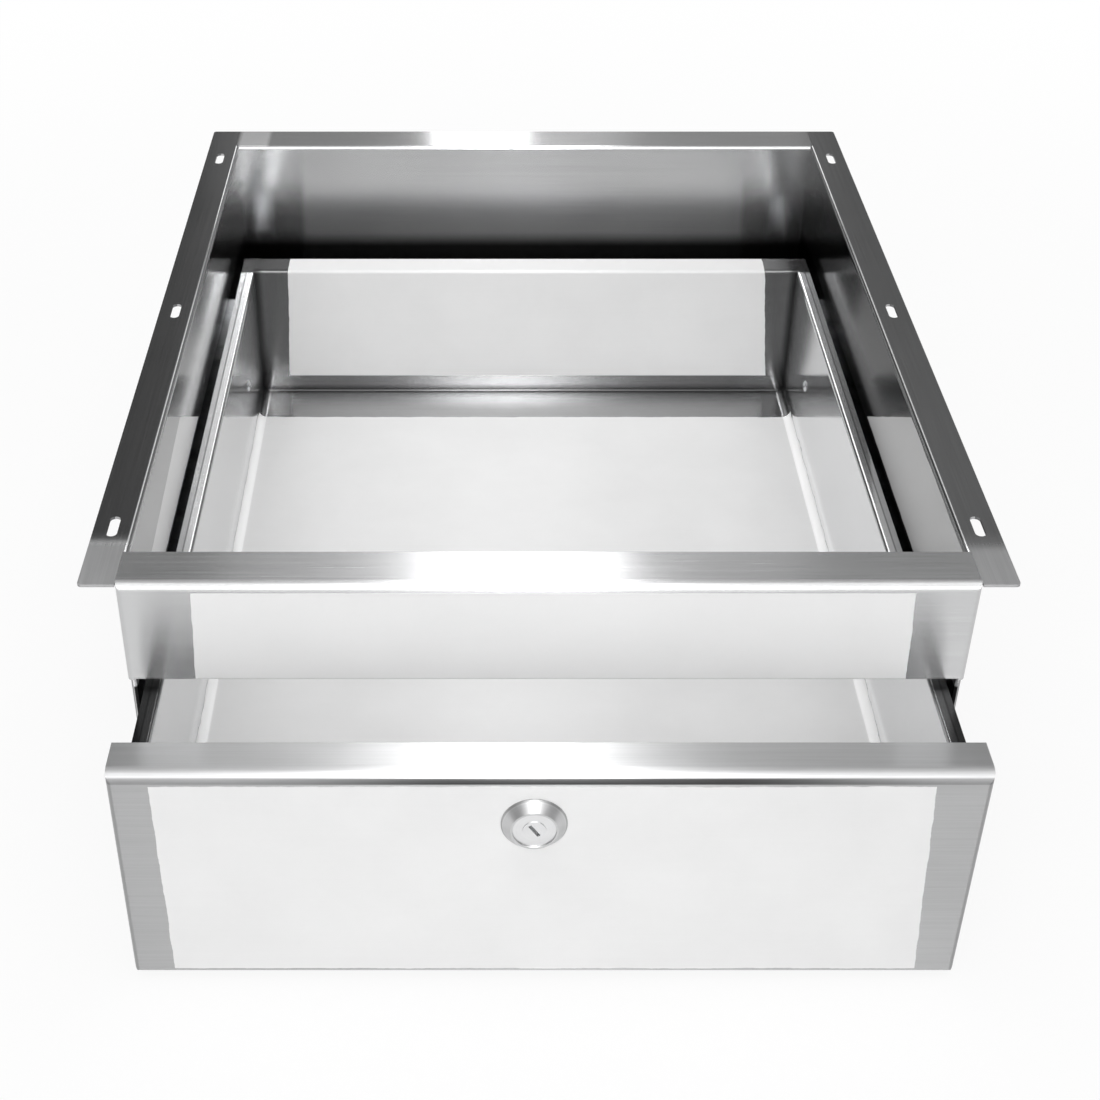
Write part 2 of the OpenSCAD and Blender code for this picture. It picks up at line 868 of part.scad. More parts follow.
// Unlocked, the cam lies level and points to the left
module lock_cam() {
    color(zinc) placed() at_lock(cam_y) linear_extrude(cam_t) difference() {
        union() {
            circle(d = cam_hub_d);
            plate([cam_w / 2 - cam_l, -cam_w / 2], [0, cam_w / 2]);
            translate([cam_w / 2 - cam_l, 0]) circle(cam_w / 2);
        }
        square(tail_w + 2 * lock_gap, center = true);
    }
}

module lock_cam_screw() {
    color(zinc) placed() at_lock(cam_y + cam_t) {
        difference() {
            cylinder(d = cam_screw_d, h = cam_screw_t);
            translate([0, 0, cam_screw_t]) drive(cam_screw_t / 2);
        }
        translate([0, 0, -cam_t - cam_screw_depth]) cylinder(d = cam_screw_core, h = cam_t + cam_screw_depth);
    }
}

housing_left_side();
housing_right_side();
housing_front_rail();
housing_back_panel();
outer_slide_left();
outer_slide_right();
middle_slide_left();
middle_slide_right();
inner_slide_left();
inner_slide_right();
outer_cage_left();
outer_cage_right();
inner_cage_left();
inner_cage_right();
outer_balls_left();
outer_balls_right();
inner_balls_left();
inner_balls_right();
slide_buffers();
housing_screws();
housing_nuts();
drawer_front();
drawer_inner_front();
drawer_pan();
drawer_screws();
lock_collar();
lock_barrel();
lock_nut();
lock_plug();
lock_cam();
lock_cam_screw();
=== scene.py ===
import math

import bpy
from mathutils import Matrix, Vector


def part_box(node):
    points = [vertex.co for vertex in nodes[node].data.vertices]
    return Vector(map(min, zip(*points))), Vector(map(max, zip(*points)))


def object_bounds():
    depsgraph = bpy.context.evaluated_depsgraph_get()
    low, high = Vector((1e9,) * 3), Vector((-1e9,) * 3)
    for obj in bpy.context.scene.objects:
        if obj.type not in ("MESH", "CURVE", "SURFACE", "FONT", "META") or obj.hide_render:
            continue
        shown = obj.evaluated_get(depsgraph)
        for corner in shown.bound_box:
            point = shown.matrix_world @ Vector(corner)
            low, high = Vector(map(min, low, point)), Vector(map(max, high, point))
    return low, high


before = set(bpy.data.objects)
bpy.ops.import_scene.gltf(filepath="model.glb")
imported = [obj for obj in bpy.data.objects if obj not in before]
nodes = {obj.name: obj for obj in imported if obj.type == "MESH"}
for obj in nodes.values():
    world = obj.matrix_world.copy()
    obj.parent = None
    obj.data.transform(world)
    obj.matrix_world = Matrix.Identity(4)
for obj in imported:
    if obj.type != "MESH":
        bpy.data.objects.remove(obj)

cad_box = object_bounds()

MM = 0.001

# Sizes of the part that its boxes don't give
PAN_SHEET = 1.2 * MM
PAN_SIDE_RIM = 9.0 * MM  # from a side wall's inner face to the rim's outer edge
PAN_BACK_RIM = 18.9 * MM  # from the back wall's inner face to the rim's back edge
SLIDE_THICKNESS = 13.0 * MM

# Places on the part at rest, in metres, worked out from the frame

rail_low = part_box("housing_front_rail")[0]
front_low, front_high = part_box("drawer_front")
pan_low, pan_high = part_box("drawer_pan")
back_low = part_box("housing_back_panel")[0]
side_low, side_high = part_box("housing_right_side")
collar_low, collar_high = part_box("lock_collar")
part_low, part_high = (Vector(corner) for corner in cad_box)

FLANGE_TOP = side_high.z
FRONT_FACE_Y = front_low.y
RAIL_FACE_Y = side_low.y
FRONT_TOP = front_high.z
LOCK_X = (collar_low.x + collar_high.x) / 2
LOCK_Z = (collar_low.z + collar_high.z) / 2
PAN_FLOOR_Z = pan_low.z + PAN_SHEET
PAN_BACK_Y = pan_high.y - PAN_BACK_RIM
PAN_INNER_X = pan_high.x - PAN_SIDE_RIM
WALL_INNER_X = PAN_INNER_X + PAN_SHEET + SLIDE_THICKNESS
PANEL_INNER_Y = back_low.y


# Camera and light

# The camera was fitted to edges in the photo, together with the part's sizes
CAMERA_PLACE = (-0.03471, -0.92855, 0.71339)
CAMERA_DOWN = 35.49
CAMERA_LENS = 58.68
CAMERA_SHIFT = 0.0671

# The two strips light only what is glossy, and the two fills, overhead and in front, only what is
# matt
AIM = (0.0, 0.0, 0.15)
LAMPS = (
    # name, place, aim, width, height, radiance, the rays that don't see it
    ("window_high", (0.045, 1.45, 1.45), AIM, 0.32, 1.00, 1.7, None),
    ("window_low", (-0.03, 1.70, 0.62), AIM, 0.14, 0.60, 5.0, None),
    ("window_glow", (0.025, 1.72, 1.22), AIM, 1.00, 1.60, 0.25, None),
    ("overhead_strip", (0.03, 0.45, 2.15), AIM, 0.17, 1.30, 25.0, "diffuse"),
    ("front_strip", (0.05, -3.0, 2.0), AIM, 0.22, 1.40, 60.0, "diffuse"),
    ("overhead", (0.0, -0.35, 2.4), AIM, 2.4, 1.5, 1.95, "glossy"),
    ("front_fill", (-0.3, -2.1, 1.6), (0.0, -0.3, 0.1), 2.0, 1.6, 2.25, "glossy"),
)


def add_camera():
    camera = bpy.data.objects.new("camera", bpy.data.cameras.new("camera"))
    camera.data.sensor_width = 36
    camera.data.lens = CAMERA_LENS
    camera.data.shift_x = CAMERA_SHIFT
    camera.data.clip_start = 0.05
    camera.data.clip_end = 60
    camera.location = CAMERA_PLACE
    camera.rotation_euler = (math.radians(90 - CAMERA_DOWN), 0, 0)
    bpy.context.scene.collection.objects.link(camera)
    bpy.context.scene.camera = camera


def add_softbox(name, place, aim, width, height, radiance):
    """A rectangular lamp at place, facing aim, whose face has that radiance."""
    lamp = bpy.data.lights.new(name, "AREA")
    lamp.shape = "RECTANGLE"
    lamp.size = width
    lamp.size_y = height
    lamp.energy = radiance * math.pi * width * height
    holder = bpy.data.objects.new(name, lamp)
    holder.location = place
    toward = Vector(aim) - Vector(place)
    holder.rotation_euler = toward.to_track_quat("-Z", "Y").to_euler()
    bpy.context.scene.collection.objects.link(holder)
    return holder


def add_lights():
    for name, place, aim, width, height, radiance, unseen_by in LAMPS:
        lamp = add_softbox(name, place, aim, width, height, radiance)
        if unseen_by == "diffuse":
            lamp.visible_diffuse = False
        if unseen_by == "glossy":
            lamp.visible_glossy = False


# Node helpers

class Graph:
    """Adds nodes to a tree, each linked to what it takes."""

    def __init__(self, tree):
        self.tree = tree
        tree.nodes.clear()

    def add(self, kind, values=None, **settings):
        made = self.tree.nodes.new(kind)
        for name, value in settings.items():
            setattr(made, name, value)
        for socket, value in (values or {}).items():
            self.feed(made.inputs[socket], value)
        return made

    def feed(self, socket, value):
        if isinstance(value, bpy.types.NodeSocket):
            self.tree.links.new(value, socket)
        else:
            socket.default_value = value

    def math(self, operation, a, b=0.0, c=0.0):
        made = self.add("ShaderNodeMath", {0: a, 1: b, 2: c}, operation=operation)
        return made.outputs[0]

    def plus(self, a, b):
        return self.math("ADD", a, b)

    def minus(self, a, b):
        return self.math("SUBTRACT", a, b)

    def times(self, first, *rest):
        return self.math("MULTIPLY", first, self.times(*rest)) if rest else first

    def size(self, value):
        """The value without its sign."""
        return self.math("ABSOLUTE", value)

    def far(self, a, b):
        """The distance from zero of a point at a, b."""
        return self.math("SQRT", self.plus(self.times(a, a), self.times(b, b)))

    def change(self, share, amount, start=1.0):
        """start, plus amount where share is 1."""
        return self.math("MULTIPLY_ADD", share, amount, start)

    def fade(self, value, start, end, low=0.0, high=1.0):
        """Runs smoothly from low to high as value goes from start to end."""
        made = self.add(
            "ShaderNodeMapRange",
            {"Value": value, "From Min": start, "From Max": end, "To Min": low, "To Max": high},
            interpolation_type="SMOOTHSTEP",
        )
        return made.outputs["Result"]

    def spread(self, value, low, high):
        """Spreads a noise's middle over low to high."""
        made = self.add(
            "ShaderNodeMapRange",
            {"Value": value, "From Min": 0.3, "From Max": 0.7, "To Min": low, "To Max": high},
        )
        return made.outputs["Result"]

    def mix(self, factor, a, b):
        made = self.add("ShaderNodeMix", data_type="RGBA")
        self.feed(made.inputs["Factor"], factor)
        colours = [s for s in made.inputs if s.type == "RGBA"]
        self.feed(colours[0], a)
        self.feed(colours[1], b)
        return [s for s in made.outputs if s.type == "RGBA"][0]

    def mix_vector(self, factor, a, b):
        made = self.add("ShaderNodeMix", data_type="VECTOR")
        self.feed([s for s in made.inputs if s.type == "VALUE"][0], factor)
        vectors = [s for s in made.inputs if s.type == "VECTOR" and s.enabled]
        self.feed(vectors[0], a)
        self.feed(vectors[1], b)
        return [s for s in made.outputs if s.type == "VECTOR" and s.enabled][0]

    def place(self):
        """The point on the part, in metres, and its three coordinates."""
        point = self.add("ShaderNodeTexCoord").outputs["Object"]
        split = self.add("ShaderNodeSeparateXYZ", {0: point})
        return point, split.outputs["X"], split.outputs["Y"], split.outputs["Z"]

    def facing(self):
        """The parts along X, Y and Z of the direction that the surface looks in."""
        normal = self.add("ShaderNodeNewGeometry").outputs["Normal"]
        return self.add("ShaderNodeSeparateXYZ", {0: normal}).outputs

    def noise(self, point, scale, detail=2.0, rough=0.5, offset=(0.0, 0.0, 0.0)):
        """Noise in features per metre, with one scale or its own along each axis."""
        if isinstance(scale, float):
            scale = (scale,) * 3
        mapped = self.add(
            "ShaderNodeMapping", {"Vector": point, "Scale": scale, "Location": offset}
        )
        made = self.add(
            "ShaderNodeTexNoise",
            {"Vector": mapped.outputs[0], "Scale": 1.0, "Detail": detail, "Roughness": rough},
        )
        return made.outputs[0]

    def vector(self, x, y, z):
        return self.add("ShaderNodeCombineXYZ", {0: x, 1: y, 2: z}).outputs[0]

    def scaled(self, colour, level):
        made = self.add("ShaderNodeVectorMath", {0: colour, "Scale": level}, operation="SCALE")
        return made.outputs[0]

    def bump(self, height):
        """A normal bumped by a height in metres."""
        made = self.add("ShaderNodeBump", {"Strength": 1.0, "Distance": 1.0, "Height": height})
        return made.outputs[0]


def new_material(name):
    material = bpy.data.materials.new(name)
    material.use_nodes = True
    return material, Graph(material.node_tree)


def close_material(graph, shader):
    graph.add("ShaderNodeOutputMaterial", {"Surface": shader.outputs[0]})


# Masks, which are 1 where something is

def inside(g, value, low, high, soft=0.12 * MM):
    """1 where value lies between low and high."""
    return g.times(
        g.fade(value, g.minus(low, soft), g.plus(low, soft)),
        g.fade(value, g.minus(high, soft), g.plus(high, soft), 1.0, 0.0),
    )


def slanted(g, value, start, end, at_start, at_end):
    """Runs straight from at_start to at_end as value goes from start to end."""
    share = g.math("DIVIDE", g.minus(value, start), end - start)
    return g.change(share, at_end - at_start, at_start)


def by_facing(g, facing, axis, elsewhere, along):
    """along on faces that look along the axis, elsewhere on all others."""
    return g.fade(g.size(facing[axis]), 0.6, 0.9, elsewhere, along)


def on_front(g, y, face_y):
    """1 on the front face of a sheet that faces -Y."""
    return g.fade(y, face_y + 0.3 * MM, face_y + 0.2 * MM)


def on_flange(g, z):
    """1 on the top face of the housing's flange."""
    return g.fade(z, FLANGE_TOP - 0.4 * MM, FLANGE_TOP - 0.2 * MM)


# Protective film, as the sharp-edged pale areas in the photo are read. Every film's function takes
# the same arguments.

# The x in mm of each film's left and right edge, at its bottom and at its top
FRONT_FILM = (-188.5, -189.5), (189.3, 181.6)
RAIL_FILM = (-174.0, -171.5), (178.4, 176.0)
PAN_BACK_FILM = (-171.0, -167.0), (176.5, 168.3)

# The patch on the side walls: its back edge lies where y + SLANT z is BACK, with a slant worked
# out from the fitted camera. A painted highlight makes its part on the left wall whiter, up to a
# straight upper edge.
SIDE_FILM_SLANT = 1.66
SIDE_FILM_BACK = 249.5 * MM
SIDE_SHEEN_Y = -164.0 * MM, -46.0 * MM
SIDE_SHEEN_TOP = 167.5 * MM, 178.0 * MM
SIDE_SHEEN_GAIN = 0.62


def film_edge(g, point, seed):
    """A film's edge wanders by a fraction of a millimetre."""
    wander = g.noise(point, 70.0, 3.0, 0.6, (seed, seed, seed))
    return g.spread(wander, -0.35 * MM, 0.35 * MM)


def between_edges(g, x, z, bottom, top, edges):
    """1 between a film's left and right edges, whose x is given in mm."""
    left, right = (
        slanted(g, z, bottom, top, at_bottom * MM, at_top * MM) for at_bottom, at_top in edges
    )
    return inside(g, x, left, right)


def front_film(g, point, x, y, z):
    """The drawer's face is covered apart from strips along its four edges."""
    bottom, top = front_low.z, FRONT_TOP
    edge_x = g.plus(x, film_edge(g, point, 1.0))
    edge_z = g.plus(z, film_edge(g, point, 2.0))
    across = between_edges(g, edge_x, z, bottom, top, FRONT_FILM)
    up = inside(g, edge_z, bottom + 3.0 * MM, top - 7.7 * MM)
    return g.times(across, up, on_front(g, y, FRONT_FACE_Y))


def rail_film(g, point, x, y, z):
    """The rail's face is covered up to its bend, apart from its two ends."""
    bottom, top = rail_low.z, FLANGE_TOP
    edge_x = g.plus(x, film_edge(g, point, 3.0))
    across = between_edges(g, edge_x, z, bottom, top, RAIL_FILM)
    up = inside(g, z, bottom - 1.0 * MM, top - 5.2 * MM)
    return g.times(across, up, on_front(g, y, RAIL_FACE_Y))


def pan_floor_film(g, edge_x, edge_y, z):
    """The floor is covered, and the foot of its side bends, apart from a strip at the back."""
    half = PAN_INNER_X - 0.25 * MM
    return g.times(
        inside(g, edge_x, -half, half),
        g.fade(edge_y, PAN_BACK_Y - 37.4 * MM, PAN_BACK_Y - 37.8 * MM),
        g.fade(z, PAN_FLOOR_Z - 0.8 * MM, PAN_FLOOR_Z - 0.4 * MM),
        g.fade(z, PAN_FLOOR_Z + 3.5 * MM, PAN_FLOOR_Z + 7.5 * MM, 1.0, 0.0),
    )


def pan_film(g, point, x, y, z):
    """The floor is covered, and the back wall's inner face above its foot."""
    wander = film_edge(g, point, 4.0)
    edge_x, edge_y = g.plus(x, wander), g.plus(y, wander)
    bottom, top = PAN_FLOOR_Z + 12.5 * MM, FRONT_TOP
    back = g.times(
        between_edges(g, edge_x, z, bottom, top, PAN_BACK_FILM),
        g.fade(y, PAN_BACK_Y - 0.3 * MM, PAN_BACK_Y - 0.2 * MM),
        g.fade(z, bottom, bottom + 0.3 * MM),
    )
    return g.math("MAXIMUM", pan_floor_film(g, edge_x, edge_y, z), back)


def side_film(g, point, x, y, z):
    """The pale patch on the front part of both walls' inner faces, above the drawer's rim.

    It is painted as film. That is a guess: in the photo it may be a reflection of the pan's film.
    """
    wander = film_edge(g, point, 6.0)
    inner = inside(g, g.size(x), WALL_INNER_X - 0.3 * MM, WALL_INNER_X + 0.3 * MM)
    up = inside(g, g.plus(z, wander), FRONT_TOP + 1.6 * MM, FLANGE_TOP - 3.0 * MM)
    back = g.change(z, SIDE_FILM_SLANT, g.plus(y, wander))
    front_part = g.fade(back, SIDE_FILM_BACK + 0.4 * MM, SIDE_FILM_BACK - 0.4 * MM)
    return g.times(inner, up, front_part)


def side_film_sheen(g, x, y, z):
    """A painted highlight makes the left wall's patch whiter beside the drawer."""
    top = slanted(g, y, *SIDE_SHEEN_Y, *SIDE_SHEEN_TOP)
    sheen = g.fade(z, g.plus(top, 1.0 * MM), g.minus(top, 1.0 * MM))
    on_left = g.fade(x, 10 * MM, -10 * MM)
    return g.change(g.times(sheen, on_left), SIDE_SHEEN_GAIN)


# Tones of the steel from place to place, as factors. They follow the photo's look: most of them
# are painted light and shade; what others are said to be, such as dressing, is a reading of it.
# Every shade's function takes the same arguments.

def front_corner_dressed(g, x, y, z):
    """The flange's front corners look dressed across the grain, as after welding."""
    return g.fade(y, RAIL_FACE_Y + 46.0 * MM, RAIL_FACE_Y + 26.0 * MM)


def pan_corner_shade(g, x, y, z):
    """Painted shade darkens the corners and the foot of the back wall."""
    at_back = g.fade(y, PAN_BACK_Y - 5.0 * MM, PAN_BACK_Y - 0.5 * MM)
    aside = g.fade(g.size(x), PAN_INNER_X - 6.0 * MM, PAN_INNER_X - 0.5 * MM)
    below = g.fade(z, PAN_FLOOR_Z + 7.0 * MM, PAN_FLOOR_Z + 0.5 * MM)
    return g.times(at_back, g.math("MAXIMUM", aside, below))


def pan_rim_light_and_shade(g, x, y):
    """Painted light and shade on the rim: a painted highlight along the sides, and painted shade at
    the back, in front and towards its corners.
    """
    ends = g.math(
        "MAXIMUM",
        g.fade(y, RAIL_FACE_Y + 20 * MM, RAIL_FACE_Y),
        g.fade(y, PAN_BACK_Y - 4 * MM, PAN_BACK_Y),
    )
    end_tone = g.math(
        "MINIMUM",
        g.fade(x, -150 * MM, -40 * MM, 0.08, 0.5),
        g.fade(x, 40 * MM, 150 * MM, 0.5, 0.22),
    )
    rim = g.fade(ends, 0.0, 1.0, 2.0, end_tone)
    # A dark line runs along the side rims, and their outer part is painted darker
    out = g.minus(g.size(x), PAN_INNER_X)
    mark = inside(g, out, 5.1 * MM, 6.0 * MM, 0.25 * MM)
    outer = g.fade(out, 5.2 * MM, 5.8 * MM, 1.0, 0.75)
    return g.times(rim, outer, g.change(mark, -0.5))


def pan_shade(g, x, y, z, facing):
    """Painted light and shade on the pan: its side walls are painted brighter than the floor's bare
    strip and the back wall's bare edges, the right one most.
    """
    strip = by_facing(g, facing, "Y", 0.58, 0.20)
    side = g.fade(x, -0.1, 0.1, 1.0, 1.2)
    wall = by_facing(g, facing, "X", strip, side)
    wall = g.times(wall, g.change(pan_corner_shade(g, x, y, z), -0.7))
    rim = g.fade(z, FRONT_TOP - 0.5 * MM, FRONT_TOP - 0.2 * MM, 1.0, pan_rim_light_and_shade(g, x, y))
    return g.times(wall, rim)


def inner_shade(g, x, y, z, facing):
    """Painted shade: a dark band on the housing's inner faces below the drawer's rim."""
    within = g.times(
        g.fade(g.size(x), WALL_INNER_X + 0.4 * MM, WALL_INNER_X + 0.2 * MM),
        g.fade(y, PANEL_INNER_Y + 0.4 * MM, PANEL_INNER_Y + 0.2 * MM),
    )
    # It starts lower and more softly on the back panel
    at_back = g.fade(y, PANEL_INNER_Y - 6.0 * MM, PANEL_INNER_Y - 2.0 * MM)
    start = g.change(at_back, -2.0 * MM, FRONT_TOP)
    full = g.change(at_back, -15.0 * MM, FRONT_TOP - 1.5 * MM)
    lower = g.fade(z, FRONT_TOP - 42.0 * MM, FRONT_TOP - 30.0 * MM, 0.2, 1.0)
    band = g.times(g.fade(z, start, full), lower)
    return g.change(g.times(within, band), -0.96)


def back_shade(g, x, y, z, facing):
    """Painted light and shade on the back panel, whose wall is paler at the sides near the top and
    darker lower down. Its flange looks dressed near its left end, and its welded ends are dark.
    """
    patch = inside(g, x, -205.0 * MM, -184.0 * MM, 2.0 * MM)
    corner = g.fade(g.size(x), 205.0 * MM, 208.0 * MM)
    flange = g.change(corner, -0.55, g.change(patch, 0.9, 0.85))
    upper = g.fade(g.size(x), 30.0 * MM, 140.0 * MM, 0.95, 1.2)
    wall = g.fade(z, FLANGE_TOP - 22.0 * MM, FRONT_TOP - 4.0 * MM, upper, 0.8)
    tone = g.change(on_flange(g, z), g.minus(flange, wall), wall)
    return g.times(tone, inner_shade(g, x, y, z, facing))


def front_shade(g, x, y, z, facing):
    """A painted reflection draws a dark line above the film's upper edge, and the bend over it has
    a painted highlight.
    """
    on_face = g.fade(y, FRONT_FACE_Y + 4.0 * MM, FRONT_FACE_Y + 2.0 * MM)
    line = inside(g, z, FRONT_TOP - 6.5 * MM, FRONT_TOP - 3.2 * MM, 0.5 * MM)
    from_middle = g.size(g.minus(x, 20 * MM))
    strength = g.fade(from_middle, 60 * MM, 190 * MM, 0.9, 0.35)
    painted_dark_line = g.change(g.times(line, strength, on_face), -1.0)
    bend = inside(g, z, FRONT_TOP - 3.0 * MM, FRONT_TOP - 0.3 * MM, 0.3 * MM)
    return g.change(g.times(bend, on_face), 0.3, painted_dark_line)


def side_shade(g, x, y, z, facing):
    """Painted light: the left wall is painted brighter inside than the right one, and the dressed
    corners, ground across the grain, are painted bright.
    """
    on_top = on_flange(g, z)
    inner = inside(g, g.size(x), WALL_INNER_X - 2.0 * MM, WALL_INNER_X + 0.4 * MM)
    inner = g.times(inner, g.minus(1.0, on_top))
    wall_painted_light = g.change(inner, g.fade(x, -10 * MM, 10 * MM, 1.35, -0.2))
    corner = g.times(on_top, front_corner_dressed(g, x, y, z))
    return g.change(corner, 0.4, g.times(inner_shade(g, x, y, z, facing), wall_painted_light))


# Materials

# Both metals are a slightly blue grey
STEEL_TINT = (1.0, 1.004, 1.012)
CHROME_TINT = (1.0, 1.003, 1.01)

# The roughness where a sheet was dressed across its grain
DRESSED_ROUGH = 0.34

# Heights of the bump, in metres
BRUSH_HEIGHT = 0.0000012
WAVE_HEIGHT = 0.0004
PLATE_HEIGHT = 0.000004
RUBBER_HEIGHT = 0.00002
TURNED_HEIGHT = 0.000002

# For each grain: the scales of its fine lines and of its streaks, its direction on faces that it
# runs along, and its direction on faces that look along it
GRAINS = {
    "x": ((14.0, 2600.0, 2600.0), (5.0, 520.0, 520.0), (1.0, 0.03, 0.02), (0.03, 0.02, 1.0)),
    "y": ((2600.0, 14.0, 2600.0), (520.0, 5.0, 520.0), (0.03, 1.0, 0.02), (1.0, 0.02, 0.03)),
}


def tinted(tone, tint):
    return tuple(tone * part for part in tint)


def lay_film(g, values, mask, point, fine, facing, tone, gain):
    """Turns a steel's values into those of white film where mask is 1."""
    haze = g.noise(point, 22.0, 4.0, 0.6, (2.0, 6.0, 4.0))
    clean = g.plus(g.spread(haze, 0.98, 1.015), g.spread(fine, -0.006, 0.006))
    if gain:
        clean = g.times(clean, gain)
    # Painted highlight: film is painted whiter where it bridges a bend
    bend = inside(g, g.size(facing["X"]), 0.2, 0.93, 0.12)
    white = g.scaled((tone,) * 3, g.times(clean, g.change(bend, 0.4)))
    bare = g.minus(1.0, mask)
    film_rough = g.spread(haze, 0.34, 0.42)
    values["Base Color"] = g.mix(mask, values["Base Color"], white)
    values["Metallic"] = bare
    values["Roughness"] = g.plus(g.times(mask, film_rough), g.times(bare, values["Roughness"]))


def brushed_steel(name, grain, tone=0.55, rough=0.35, aniso=0.95, edge=1.0, walls=None,
                  shade=None, dressed=None, film=None, film_tone=0.87, film_gain=None):
    """Brushed stainless sheet with its grain along x or y.

    edge is the tint of what it reflects at grazing angles, and walls the roughness of faces that
    look along x. shade gives a factor on the tone, dressed says where it was ground across the
    grain, and film where it is covered.
    """
    material, g = new_material(name)
    point, x, y, z = g.place()
    facing = g.facing()
    fine_scale, streak_scale, along, across = GRAINS[grain]
    fine = g.noise(point, fine_scale, 3.0, 0.6)
    streak = g.noise(point, streak_scale, 2.0, 0.5, (3.1, 7.7, 1.3))
    smudge = g.noise(point, 9.0, 3.0, 0.55, (5.0, 2.0, 8.0))
    wave = g.noise(point, 6.0, 1.0, 0.4, (1.0, 4.0, 2.0))

    lines = g.plus(g.spread(fine, 0.945, 1.055), g.spread(streak, -0.025, 0.025))
    level = g.times(lines, g.spread(smudge, 0.975, 1.02))
    if shade:
        level = g.times(level, shade(g, x, y, z, facing))

    middle = by_facing(g, facing, "X", rough, walls) if walls else rough
    turned = g.fade(g.size(facing[grain.upper()]), 0.6, 0.8)
    tangent = g.mix_vector(turned, g.vector(*along), g.vector(*across))
    if dressed:
        ground = dressed(g, x, y, z)
        middle = g.change(ground, DRESSED_ROUGH - rough, middle)
        tangent = g.mix_vector(ground, tangent, g.vector(*GRAINS["x"][2]))
    vary = g.plus(g.spread(fine, -0.07, 0.09), g.spread(smudge, -0.05, 0.06))

    values = {
        "Metallic": 1.0,
        "Base Color": g.scaled(tinted(tone, STEEL_TINT), level),
        "Roughness": g.change(middle, vary, middle),
        "Anisotropic": aniso,
        "Anisotropic Rotation": 0.25,
        "Tangent": tangent,
        "Normal": g.bump(g.plus(g.times(fine, BRUSH_HEIGHT), g.times(wave, WAVE_HEIGHT))),
        "Specular Tint": (edge, edge, edge, 1.0),
    }
    if film:
        mask = film(g, point, x, y, z)
        gain = film_gain(g, x, y, z) if film_gain else None
        lay_film(g, values, mask, point, fine, facing, film_tone, gain)
    close_material(g, g.add("ShaderNodeBsdfPrincipled", values))
    return material


def mottled(name, colour, rough, scale, vary=0.05, metallic=1.0, height=PLATE_HEIGHT):
    """A plated or moulded surface with a fine mottle."""
    material, g = new_material(name)
    point = g.place()[0]
    mottle = g.noise(point, scale, 4.0, 0.6)
    cloud = g.noise(point, 45.0, 2.0, 0.5, (3.0, 1.0, 2.0))
    level = g.times(g.spread(mottle, 1 - vary, 1 + vary), g.spread(cloud, 0.95, 1.04))
    values = {
        "Metallic": metallic,
        "Base Color": g.scaled(colour, level),
        "Roughness": g.plus(
            g.spread(mottle, rough - 0.03, rough + 0.03), g.spread(cloud, -0.02, 0.03)
        ),
        "Normal": g.bump(g.times(mottle, height)),
    }
    close_material(g, g.add("ShaderNodeBsdfPrincipled", values))
    return material


def side_steel():
    """The housing's side walls, whose low edge tint keeps them dark when seen along their faces."""
    return brushed_steel(
        "side_steel", "y", tone=0.42, rough=0.14, aniso=0.8, edge=0.42, shade=side_shade,
        dressed=front_corner_dressed, film=side_film, film_tone=0.6, film_gain=side_film_sheen)


def rail_steel():
    return brushed_steel(
        "rail_steel", "x", tone=0.58, rough=0.25, film=rail_film, film_tone=0.95)


def back_steel():
    return brushed_steel("back_steel", "x", tone=0.48, rough=0.2, aniso=0.9, shade=back_shade)


def front_steel():
    return brushed_steel("front_steel", "x", tone=0.40, shade=front_shade, film=front_film)


def inner_front_steel():
    return brushed_steel("inner_front_steel", "x")


def pan_steel():
    return brushed_steel(
        "pan_steel", "x", tone=0.66, rough=0.22, aniso=0.9, walls=0.11, shade=pan_shade,
        film=pan_film, film_tone=0.88)


def zinc_plate():
    return mottled("zinc_plate", (0.46, 0.47, 0.49), 0.28, 900.0)


def cage_strip():
    return mottled("cage_strip", (0.42, 0.43, 0.44), 0.3, 900.0)


def ball_steel():
    return mottled("ball_steel", (0.72, 0.72, 0.73), 0.1, 700.0, vary=0.02)


def screw_zinc():
    return mottled("screw_zinc", (0.66, 0.67, 0.68), 0.24, 1200.0)


def rubber():
    return mottled("rubber", (0.025, 0.025, 0.027), 0.6, 1500.0, 0.1, 0.0, RUBBER_HEIGHT)


def lock_zinc():
    return mottled("lock_zinc", (0.6, 0.61, 0.63), 0.3, 900.0)


def lock_chrome():
    """Chrome over turned metal, with fine rings round the lock's axis."""
    tone, rough = 0.78, 0.36
    material, g = new_material("lock_chrome")
    point, x, y, z = g.place()
    radius = g.far(g.minus(x, LOCK_X), g.minus(z, LOCK_Z))
    rings = g.noise(g.vector(radius, y, 0.0), (3500.0, 3500.0, 1.0), 2.0, 0.5)
    cloud = g.noise(point, 160.0, 3.0, 0.5)
    # Painted shade: the collar's cone is painted darker than the lock's face, and a painted shadow
    # lies where it meets the front
    foot = g.fade(radius, 14.9 * MM, 15.7 * MM, 0.0, 0.7)
    cone = g.times(inside(g, radius, 10.4 * MM, 15.2 * MM, 0.4 * MM), 0.35)
    cone_and_foot_shade = g.math("MAXIMUM", foot, cone)
    clean = g.times(g.spread(rings, 0.97, 1.03), g.spread(cloud, 0.97, 1.02))
    values = {
        "Metallic": 1.0,
        "Base Color": g.scaled(tinted(tone, CHROME_TINT), g.times(clean, g.change(cone_and_foot_shade, -0.65))),
        "Roughness": g.plus(
            g.spread(rings, rough - 0.02, rough + 0.03), g.spread(cloud, -0.02, 0.02)
        ),
        "Anisotropic": 0.1,
        "Anisotropic Rotation": 0.25,
        "Tangent": g.add("ShaderNodeTangent", direction_type="RADIAL", axis="Y").outputs[0],
        "Normal": g.bump(g.times(rings, TURNED_HEIGHT)),
    }
    close_material(g, g.add("ShaderNodeBsdfPrincipled", values))
    return material


# Floor and world

FLOOR_HALF = 30.0
FLOOR_Z = -0.3 * MM


